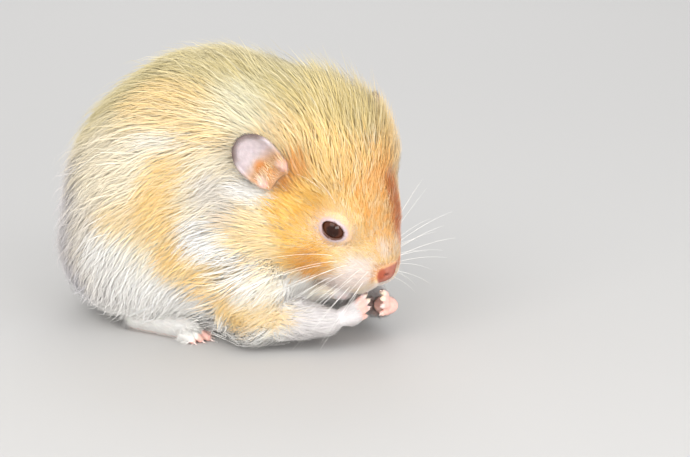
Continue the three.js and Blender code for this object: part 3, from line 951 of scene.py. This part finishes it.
def kept_off(places, on_front):
    """The places moved out of the ears' leaves, off the eyes and above the floor."""
    for number, side in enumerate(SIDES.values()):
        across, rise, out = ear_coordinates(places, side)
        front = np.where(on_front[:, number], 1, -1)
        inside = (leaf_reach(across, rise) < 1.15) & (rise > EAR_ROOT) & (out * front < 0.75)
        face = turned_with_head(mirrored(EAR_FACE, side))
        push = np.clip(0.75 - out * front, 0, 2.5) * front * inside * (out * front > -1.8)
        places = places + push[:, None] * face
        along, up, _ = eye_axes(side)
        u, v, w = eye_coordinates(places, side)
        open_share = opening_share(u, v)
        covering = (w > 0) & (open_share < 1) & (np.linalg.norm(places - eye_centre(side), axis=1) < 8)
        outward = unit(u[:, None] * along + v[:, None] * up)
        places = places + (covering * (1.05 - open_share) * EYE_OPENING[1])[:, None] * outward
    return np.stack([places[:, 0], places[:, 1], np.maximum(places[:, 2], OFF_FLOOR + 0.05)], 1)


def grow(roots, up, length, fill, shares, rng):
    """The strands' paths: under the skin, along the lie of the coat and out to its tips."""
    depth = depth_in_coat(roots)
    on_ears = [on_ear(roots, side)[0] for side in SIDES.values()]
    short = np.max([near_paw(roots), near_foot(roots), near_tail(roots), *on_ears], 0)
    loose = (depth < LOOSE_DEPTH) | (short > 0.5)
    on_front = np.stack([ear_coordinates(roots, side)[2] > 0 for side in SIDES.values()], 1)
    swing = rng.normal(0, SWING, len(roots))
    drift = mix(*DRIFT, ramp(1, 5, depth)) * wobble(roots, DRIFT_PITCH)
    paths, place, out = [roots - ROOT_DEPTH * up], roots, up
    stand = standing(roots)[:, None]
    lift = mix(*LIFTS, near_paw(roots))[:, None]
    for last, share in zip(shares, shares[1:]):
        ways = lie(place)
        turn_aside = swing + drift + rng.normal(0, JITTER, len(roots))
        ways = ways + turn_aside[:, None] * np.cross(out, ways)
        along = unit(ways - dot(ways, out)[:, None] * out)
        stride = (length * (share - last))[:, None]
        laid = place + stride * unit(along + lift * up)
        reached = place + stride * unit(along + stand * out)
        distance, slant = outline_slope(reached)
        target = -depth * (1 - share**COAT_RISE * fill)
        settle = np.clip(target - distance, -4, 4)[:, None] * (1 - np.minimum(stand, 0.9))
        reached = reached + settle * slant
        place = np.where(loose[:, None], laid, reached)
        out = np.where(loose[:, None], up, slant)
        place = np.where(loose[:, None], place, kept_off(place, on_front))
        paths.append(place)
    return np.stack(paths, 1), depth, loose


def clump(paths, depth, loose, shares, rng):
    """The strands gathered into locks: each leans to the nearest lock's own strand, most at its tip."""
    spacing = LOCK_SPACING[0] + LOCK_SPACING[1] * depth
    leads = np.nonzero((rng.random(len(paths)) < 1 / (depth_density(depth) * spacing**2)) & ~loose)[0]
    tree = kdtree.KDTree(len(leads))
    for number, lead in enumerate(leads):
        tree.insert(paths[lead, 0], number)
    tree.balance()
    nearest = leads[[tree.find(root)[1] for root in paths[:, 0]]]
    pull = rng.uniform(*LOCK_PULL, len(paths)) * ramp(0.2, 3, depth) * ~loose
    for number, share in enumerate(shares):
        lean = (pull * share**1.4)[:, None]
        paths[:, number] += lean * (paths[nearest, number] - paths[:, number])
    paths[:, :, 2] = np.maximum(paths[:, :, 2], OFF_FLOOR)
    return paths, nearest


def strand_colours(roots, showing, nearest, shares, rng):
    """Each strand's colour at its rings and tip, from the place where it shows, over pale roots: the hair's
    own pale base, and painted light that lifts the shade deep in the coat.
    """
    strayed = showing + rng.normal(0, STRAY, roots.shape)
    on_leaf = np.max([on_ear(roots, side)[0] * (1 - ear_notch(roots, side)) for side in SIDES.values()], 0)
    colour = mix_rows(coat_colours_and_painted_light(strayed), skin_colours(roots), on_leaf)
    lock_tint = rng.normal(0, 1, len(roots))[nearest]
    own_tint = rng.normal(0, 1, len(roots))
    bright = 1 + 0.02 * lock_tint + 0.03 * own_tint
    forehead = within(to_head(roots), (3, 0, 11), (10, 13, 12), 1.2, 0.5)
    colour = lay(colour, "deep_orange", forehead * np.clip(0.28 * lock_tint + 0.22 * own_tint, 0, 0.65))
    pale = np.clip(0.1 + 0.14 * rng.normal(0, 1, len(roots)) - 0.2 * forehead * lock_tint, 0, 0.5)
    colour = lay(colour, "white", pale * (1 - on_leaf)) * bright[:, None]
    # Painted light: the roots whitened against the shade deep in the coat, besides a pale undercoat.
    undercoat_and_painted_light = lay(colour, "white", PALE_ROOTS_AND_PAINTED_LIGHT * (1 - on_leaf))
    crown = within(to_head(roots), (-5, 0, 14), (17, 16, 14), 1.2, 0.7)
    undercoat_and_painted_light = lay(undercoat_and_painted_light, "orange", 0.8 * (crown * (1 - on_leaf)))
    return np.stack([mix(undercoat_and_painted_light, colour, ramp(0, 0.5, share)) for share in shares], 1)


def strand_pattern(rings):
    """One strand's faces: a three-sided rod through its rings, closed at the root and pointed at the tip."""
    tip = 3 * rings
    faces, places = [], []
    for ring in range(rings - 1):
        for i in range(3):
            j, low, high = (i + 1) % 3, 3 * ring, 3 * ring + 3
            faces.append([low + i, high + i, high + j, low + j])
            a, b = ring / rings, (ring + 1) / rings
            places += [[i / 3, a], [i / 3, b], [(i + 1) / 3, b], [(i + 1) / 3, a]]
    for i in range(3):
        j, low = (i + 1) % 3, 3 * (rings - 1)
        faces.append([low + i, tip, low + j])
        a = (rings - 1) / rings
        places += [[i / 3, a], [(i + 0.5) / 3, 1], [(i + 1) / 3, a]]
    faces.append([0, 1, 2])
    places += [[0, -0.15], [0.5, -0.15], [0.5, -0.02]]
    return faces, np.array(places)


def strands_mesh(name, paths, widths, outward, colours, root_places, material):
    """A mesh of solid strands from their paths, widths, the direction they face, and colours along them."""
    count, knots = paths.shape[:2]
    rings = knots - 1
    along = unit(np.diff(paths, axis=1))
    across = unit(np.cross(along, outward[:, None, :]))
    ridge = np.cross(across, along)
    taper = np.linspace(1.0, TIP_WIDTH, rings)
    half = 0.5 * widths[:, None, None] * taper[None, :, None]
    places, normals = [], []
    for side, rise in ((1, 0), (0, 1), (-1, 0)):
        places.append(paths[:, :-1] + half * (side * across + 0.6 * rise * ridge))
        normals.append(unit(0.5 * side * across + (0.5 + rise) * ridge))
    ring_places = np.stack(places, 2).reshape(count, 3 * rings, 3)
    ring_normals = np.stack(normals, 2).reshape(count, 3 * rings, 3)
    verts = np.concatenate([ring_places, paths[:, -1:]], 1).reshape(-1, 3)
    own = np.concatenate([ring_normals, ridge[:, -1:]], 1)
    normals = unit(mix(own, outward[:, None, :], COAT_SOFTNESS)).reshape(-1, 3)
    tints = np.concatenate([np.repeat(colours[:, :-1], 3, 1), colours[:, -1:]], 1).reshape(-1, 3)

    faces, face_places = strand_pattern(rings)
    pattern = np.concatenate(faces)
    corners = (pattern[None, :] + (3 * rings + 1) * np.arange(count)[:, None]).ravel()
    sizes = np.tile([len(f) for f in faces], count)
    piece = add_mesh(name, verts, corners, sizes, material)
    paint(piece, tints)
    unwrap = piece.data.uv_layers.new(name="OFBake")
    set_values(unwrap.data, "uv", root_places[:, None, :] + PATCH * face_places[None])
    set_normals(piece, normals)
    return piece


def paint(piece, colours):
    layer = piece.data.color_attributes.new("coat_colour", "FLOAT_COLOR", "POINT")
    set_values(layer.data, "color", shader_colour(colours))


def set_normals(piece, normals):
    layer = piece.data.attributes.new("custom_normal", "FLOAT_VECTOR", "POINT")
    set_values(layer.data, "vector", normals)


# ---------------------------------------------------------------- materials
def add_node(nodes, kind, values):
    node = nodes.new(kind)
    set_inputs(node, values)
    return node


def set_inputs(node, values):
    for name, value in values.items():
        node.inputs[name].default_value = value


def new_material(name, settings):
    """A Principled material, whose base colour the caller sets."""
    material = bpy.data.materials.new(name)
    material.use_nodes = True
    shader = material.node_tree.nodes["Principled BSDF"]
    set_inputs(shader, settings)
    return material, material.node_tree.nodes, material.node_tree.links, shader


def uneven_colour(nodes, links, shader, scale, amount):
    """The piece's own colours, made a little lighter and darker by a fine noise."""
    colour = nodes.new("ShaderNodeVertexColor")
    colour.layer_name = "coat_colour"
    place = nodes.new("ShaderNodeTexCoord")
    noise = add_node(nodes, "ShaderNodeTexNoise", {"Scale": scale, "Detail": 3})
    links.new(place.outputs["Object"], noise.inputs["Vector"])
    spread = add_node(nodes, "ShaderNodeMapRange", {"To Min": 1 - amount, "To Max": 1 + amount})
    links.new(noise.outputs["Fac"], spread.inputs["Value"])
    tinted = nodes.new("ShaderNodeVectorMath")
    tinted.operation = "SCALE"
    links.new(colour.outputs["Color"], tinted.inputs[0])
    links.new(spread.outputs["Result"], tinted.inputs["Scale"])
    links.new(tinted.outputs["Vector"], shader.inputs["Base Color"])
    return place


def add_bump(nodes, links, shader, place, scale, strength, distance):
    grain = add_node(nodes, "ShaderNodeTexNoise", {"Scale": scale, "Detail": 4})
    links.new(place.outputs["Object"], grain.inputs["Vector"])
    bump = add_node(nodes, "ShaderNodeBump", {"Strength": strength, "Distance": distance})
    links.new(grain.outputs["Fac"], bump.inputs["Height"])
    links.new(bump.outputs["Normal"], shader.inputs["Normal"])


# Each material's own inputs, its grain's scale and amount, and its bump's scale, strength and depth.
FINISHES = {
    "fur": ({"Roughness": 0.66, "Specular IOR Level": 0.18, "Sheen Weight": 0.25}, (420, 0.10), None),
    "skin": ({"Roughness": 0.52, "Specular IOR Level": 0.35, "Subsurface Weight": 0.12,
              "Subsurface Scale": 0.0015}, (900, 0.08), (2200, 0.35, 0.0003)),
    "eye": ({"Roughness": 0.06, "Specular IOR Level": 0.28}, (700, 0.12), None),
    "horn": ({"Roughness": 0.4, "Specular IOR Level": 0.5}, (1500, 0.06), (3000, 0.2, 0.0001)),
    "whisker": ({"Roughness": 0.35, "Specular IOR Level": 0.5}, (300, 0.08), None),
}


def finish(name):
    """A material that shows a piece's own colours, uneven with a fine grain."""
    settings, grain, bump = FINISHES[name]
    material, nodes, links, shader = new_material(name, settings)
    place = uneven_colour(nodes, links, shader, *grain)
    if bump:
        add_bump(nodes, links, shader, place, *bump)
    return material


# ---------------------------------------------------------------- the skin
FLESH_NODES = ["trunk", "neck", "head", "lower_jaw", "nose", "tail"] + [
    f"{part}_{side}" for part in ("ear", "foreleg", "forepaw", "hindleg", "hindfoot") for side in SIDES
]
SKIN_LOW, SKIN_HIGH = (-44, -36, -1.2), (54, 36, 68)  # the box that the skin is looked for in
UNWRAP_ANGLE = 66  # degrees
UNWRAP_MARGIN = 0.001


def make_skin():
    """The skin, which is given back as its points, faces and places on its unwrap."""
    points, quads = surface_quads(flesh, SKIN_LOW, SKIN_HIGH, SKIN_STEP)
    points = settled(points, flesh)
    skin = add_mesh("skin", points, quads.ravel(), np.full(len(quads), 4), finish("skin"))
    paint(skin, skin_colours(points))
    bpy.context.view_layer.objects.active = skin
    skin.select_set(True)
    bpy.ops.object.mode_set(mode="EDIT")
    bpy.ops.mesh.select_all(action="SELECT")
    bpy.ops.uv.smart_project(angle_limit=math.radians(UNWRAP_ANGLE), island_margin=UNWRAP_MARGIN)
    bpy.ops.object.mode_set(mode="OBJECT")
    layer = skin.data.uv_layers.active
    layer.name = "OFBake"
    places = np.zeros(2 * len(skin.data.loops), np.float32)
    layer.data.foreach_get("uv", places)
    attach(skin, "root")
    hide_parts(*FLESH_NODES)
    return points, quads, places.reshape(-1, 4, 2).astype(float)


# ---------------------------------------------------------------- the coat's pieces
ZONES = {  # each zone, with a material slot name that the pieces do not use
    "short": "ear_skin", "face": "golden_fur", "head": "golden_fur", "shoulder": "cream_fur",
    "flank": "cream_fur", "rump": "cream_fur", "belly": "white_fur",
}


def zones_of(roots, loose):
    """The name of the zone that each root is in."""
    local = to_head(roots)
    zones = np.where(roots[:, 0] > 4, "shoulder", np.where(roots[:, 0] > -14, "flank", "rump"))
    zones = np.where(roots[:, 2] < 9, "belly", zones)
    zones = np.where(local[:, 0] > -17, "head", zones)
    zones = np.where(local[:, 0] > -1, "face", zones)
    return np.where(loose, "short", zones)


def make_coat(points, quads, corner_places):
    """Every strand of hair, in pieces by zone, side and depth of coat."""
    rng = np.random.default_rng(SEED)
    roots, up, places = scatter(points, quads, corner_places, rng)
    depth = depth_in_coat(roots)
    count = len(roots)
    stands = standing(roots)
    length = strand_length(roots, depth) * rng.uniform(*LENGTH_SPREAD, count)
    fill = 1.03 - 0.45 * rng.random(count) ** 1.6 + 0.2 * (rng.random(count) < 0.08)
    wisps = (rng.random(count) < 0.012 + 0.12 * stands) & (depth > LONG_COAT) & (roots[:, 2] > 30)
    fill += 0.4 * wisps
    length *= 1 + 0.25 * wisps
    sleeves = near_foreleg(roots) * ramp(1.6, 2.2, depth)
    fill *= 1 + 0.5 * sleeves + 0.5 * snout_sides(roots) + 0.35 * stands
    widths = mix(*STRAND_WIDTHS, ramp(0.4, 4, depth)) * rng.uniform(*WIDTH_SPREAD, count)
    material = finish("fur")
    for long_coat, shares in ((False, SHORT_RINGS), (True, LONG_RINGS)):
        these = np.nonzero((depth > LONG_COAT) == long_coat)[0]
        paths, depths, loose = grow(roots[these], up[these], length[these], fill[these], shares, rng)
        paths, nearest = clump(paths, depths, loose, shares, rng)
        tints = strand_colours(roots[these], paths[:, -2], nearest, shares, rng)
        slant = outline_slope(roots[these])[1]
        outward = unit(np.where(loose[:, None], up[these], slant))
        zones = zones_of(roots[these], loose)
        for zone, slot in ZONES.items():
            for side_name, side in SIDES.items():
                chosen = (zones == zone) & (np.sign(roots[these, 1] + 1e-9) == side)
                if not chosen.any():
                    continue
                name = f"coat_{zone}_{side_name}" + ("_long" if long_coat else "_fine")
                rows = these[chosen]
                piece = strands_mesh(name, paths[chosen], widths[rows], outward[chosen], tints[chosen],
                                     places[rows], material)
                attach(piece, "root")


# ---------------------------------------------------------------- eyes, whiskers and claws
def make_eye(side_name, side):
    """An eyeball that bulges at its front: nearly black, with a brown ring round a darker pupil."""
    along, up, look = eye_axes(side)
    polar = np.linspace(0, math.pi, EYE_RINGS)[1:-1]
    turn_by = np.arange(EYE_SEGMENTS) * 2 * math.pi / EYE_SEGMENTS
    polar, turn_by = (a.ravel() for a in np.meshgrid(polar, turn_by, indexing="ij"))
    bulge = EYE_RADIUS * (1 + CORNEA * np.exp(-((polar / CORNEA_SPREAD) ** 2)))
    around = np.cos(turn_by)[:, None] * along + np.sin(turn_by)[:, None] * up
    rim = bulge[:, None] * (np.sin(polar)[:, None] * around + np.cos(polar)[:, None] * look)
    front = look * EYE_RADIUS * (1 + CORNEA)
    points = eye_centre(side) + np.concatenate([rim, [front, -look * EYE_RADIUS]])
    rows = np.arange(len(rim)).reshape(EYE_RINGS - 2, EYE_SEGMENTS)
    after = np.roll(rows, -1, 1)
    if side == 1:
        rows, after = after, rows
    quads = np.stack([rows[:-1], rows[1:], after[1:], after[:-1]], -1).reshape(-1, 4)
    fan = [np.full(EYE_SEGMENTS, len(rim)), rows[0], after[0]]
    back = [np.full(EYE_SEGMENTS, len(rim) + 1), after[-1], rows[-1]]
    tris = np.concatenate([np.stack(fan, 1), np.stack(back, 1)])
    corners = np.concatenate([quads.ravel(), tris.ravel()])
    sizes = np.concatenate([np.full(len(quads), 4), np.full(len(tris), 3)])
    piece = add_mesh(f"eyeball_{side_name}", points, corners, sizes, finish("eye"))
    facing = unit(points - eye_centre(side)) @ look
    pupil = np.tile(painted("pupil"), (len(points), 1))
    paint(piece, lay(pupil, "iris", ramp(*PUPIL_EDGE, facing)))
    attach(piece, "root")
    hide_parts(f"eye_{side_name}")


def tube(path, radii, sides=6):
    """A closed round rod through a path, as points and faces."""
    along = unit(np.gradient(path, axis=0))
    across = unit(np.cross(along, [0.13, 0.27, 0.95]))
    over = np.cross(across, along)
    angles = np.arange(sides) * 2 * math.pi / sides
    around = np.cos(angles)[None, :, None] * across[:, None] + np.sin(angles)[None, :, None] * over[:, None]
    points = (path[:, None] + np.asarray(radii)[:, None, None] * around).reshape(-1, 3)
    rows = np.arange(len(points)).reshape(len(path), sides)
    after = np.roll(rows, -1, 1)
    walls = np.stack([rows[:-1], after[:-1], after[1:], rows[1:]], -1).reshape(-1, 4)
    faces = [list(f) for f in walls] + [list(rows[0][::-1]), list(rows[-1])]
    return points, faces


def join_tubes(name, tubes, colour, material):
    points, corners, sizes, first = [], [], [], 0
    for tube_points, faces in tubes:
        points.append(tube_points)
        for face in faces:
            corners += [first + c for c in face]
            sizes.append(len(face))
        first += len(tube_points)
    piece = add_mesh(name, np.concatenate(points), np.array(corners), np.array(sizes), material)
    paint(piece, np.tile(painted(colour), (first, 1)))
    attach(piece, "root")
    return piece


WHISKER_ROWS, WHISKERS_IN_ROW = 4, 5
WHISKER_RADIUS = 0.055
WHISKER_LIFTS = {-1: 0.25, 1: 0.6}  # how far the top row rises on the right and on the left
WHISKER_DROOP = np.array([-0.12, 0, -0.22])  # at the tip, as a share of the length


def whiskers(side):
    """Rows of whiskers out of the pad beside the nose, and two above the eye: origin, way and length."""
    for row in range(WHISKER_ROWS):
        for place in range(WHISKERS_IN_ROW):
            origin = mirrored((10.2 - 1.25 * place, 2.6 + 0.9 * place, -4.8 - 1.3 * row), side)
            way = mirrored((0.3 - 0.16 * place, 0.9, WHISKER_LIFTS[side] - 0.3 * row), side)
            yield from_head(origin), turned_with_head(way), 20 + 2.2 * place - 1.2 * row
    for place in range(2):
        origin = mirrored((-1.5 - 1.2 * place, 8.6, 6.0), side)
        yield from_head(origin), turned_with_head(mirrored((-0.35 - 0.3 * place, 0.55, 0.75), side)), 14


def make_whiskers():
    rng = np.random.default_rng(SEED + 1)
    tubes = []
    share = np.linspace(0, 1, 12)[:, None]
    for side in SIDES.values():
        for origin, way, length in whiskers(side):
            way = unit(unit(way) + rng.normal(0, 0.05, 3))
            length = length * rng.uniform(0.85, 1.0)
            path = origin + share * length * way + share**2 * length * WHISKER_DROOP
            tubes.append(tube(path, WHISKER_RADIUS * (1 - 0.8 * share[:, 0])))
    piece = join_tubes("whiskers", tubes, "white", finish("whisker"))
    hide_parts(*[f"whisker_{side}_{i + 1}" for side in SIDES for i in range(3)])


CLAW_LENGTHS = {"paw": 1.1, "foot": 1.6}
CLAW_WIDTH = 0.36  # at its root, as a share of the digit's


def make_claws():
    tubes = []
    share = np.linspace(0, 1, 6)[:, None]
    for side_name, side in SIDES.items():
        kinds = [(fingers(FORELEGS[side_name], side), FINGER_RADII[1], CLAW_LENGTHS["paw"]),
                 (toes(side), TOE_RADII[1], CLAW_LENGTHS["foot"])]
        for digits, radius, length in kinds:
            for _, knuckle, tip in digits:
                way = unit(tip - knuckle)
                start = tip + 0.35 * radius * way
                path = start + share * length * way + share**2 * length * np.array([0, 0, -0.25])
                path[:, 2] = np.maximum(path[:, 2], OFF_FLOOR)
                tubes.append(tube(path, CLAW_WIDTH * radius * (1 - 0.85 * share[:, 0])))
    join_tubes("claws", tubes, "blush", finish("horn"))


# ---------------------------------------------------------------- floor, lights and camera
CAMERA_AZIMUTH = math.radians(26)  # from straight on to the right side, round towards the face
CAMERA_ELEVATION = math.radians(14)
CAMERA_DISTANCE = 0.460  # in metres
PIXELS_PER_MM = 4.2  # at the target
PICTURE_SIZE = (690, 457)
ORIGIN_PIXEL = (225, 314)  # where the model's origin shows in the picture
SENSOR = 36.0  # in mm
FLOOR_HALF = 3000.0  # in mm
FLOOR_LOOK = {"Roughness": 0.8, "Specular IOR Level": 0.2, "Base Color": (0.56, 0.55, 0.54, 1)}
STUDIO_LOOK = {"Color": (0.93, 0.94, 0.95, 1), "Strength": 0.92}
LIGHTS = {  # place and size in metres, watts and colour
    "key": ((0.02, -0.62, 0.50), 0.55, 2.8, (1, 0.985, 0.96)),
    "fill": ((0.75, -0.30, 0.35), 0.6, 2.2, (0.97, 0.985, 1)),
    "low": ((0.48, -0.44, 0.05), 0.35, 3.0, (1, 0.985, 0.96)),
    "back": ((-0.35, 0.65, 0.6), 0.5, 1.4, (1, 1, 1)),
}
LIGHTS_TARGET = (0.01, 0, 0.03)


def camera_axes():
    c, s = math.cos(CAMERA_AZIMUTH), math.sin(CAMERA_AZIMUTH)
    rise = math.sin(CAMERA_ELEVATION)
    level = math.cos(CAMERA_ELEVATION)
    right = Vector((c, s, 0))
    back = Vector((s * level, -c * level, rise))
    return right, back.cross(right), back


def aim(piece, place, target):
    piece.location = place
    piece.rotation_euler = (Vector(target) - Vector(place)).to_track_quat("-Z", "Y").to_euler()


def make_camera():
    right, up, back = camera_axes()
    across = (PICTURE_SIZE[0] / 2 - ORIGIN_PIXEL[0]) / PIXELS_PER_MM
    rise = (ORIGIN_PIXEL[1] - PICTURE_SIZE[1] / 2) / PIXELS_PER_MM
    target = (right * across + up * rise) * MM
    camera = bpy.data.cameras.new("camera")
    camera.sensor_width = SENSOR
    camera.lens = SENSOR * PIXELS_PER_MM * CAMERA_DISTANCE / MM / PICTURE_SIZE[0]
    camera.clip_start = 0.01
    holder = put_in_scene("camera", camera)
    aim(holder, target + back * CAMERA_DISTANCE, target)
    bpy.context.scene.camera = holder


def make_floor():
    material = new_material("floor", FLOOR_LOOK)[0]
    points = FLOOR_HALF * np.array([(-1, -1, 0), (1, -1, 0), (1, 1, 0), (-1, 1, 0)])
    add_mesh("floor", points, np.arange(4), np.array([4]), material)


def add_light(name, place, size, watts, colour):
    light = bpy.data.lights.new(name, "AREA")
    light.size = size
    light.energy = watts
    light.color = colour
    aim(put_in_scene(name, light), place, LIGHTS_TARGET)


def make_lights():
    for name, light in LIGHTS.items():
        add_light(name, *light)
    world = bpy.data.worlds.new("studio")
    bpy.context.scene.world = world
    world.use_nodes = True
    set_inputs(world.node_tree.nodes["Background"], STUDIO_LOOK)
    bpy.context.scene.view_settings.view_transform = "Standard"


# ---------------------------------------------------------------- the whole animal
make_camera()
make_floor()
make_lights()
make_coat(*make_skin())
for name, side in SIDES.items():
    make_eye(name, side)
make_whiskers()
make_claws()
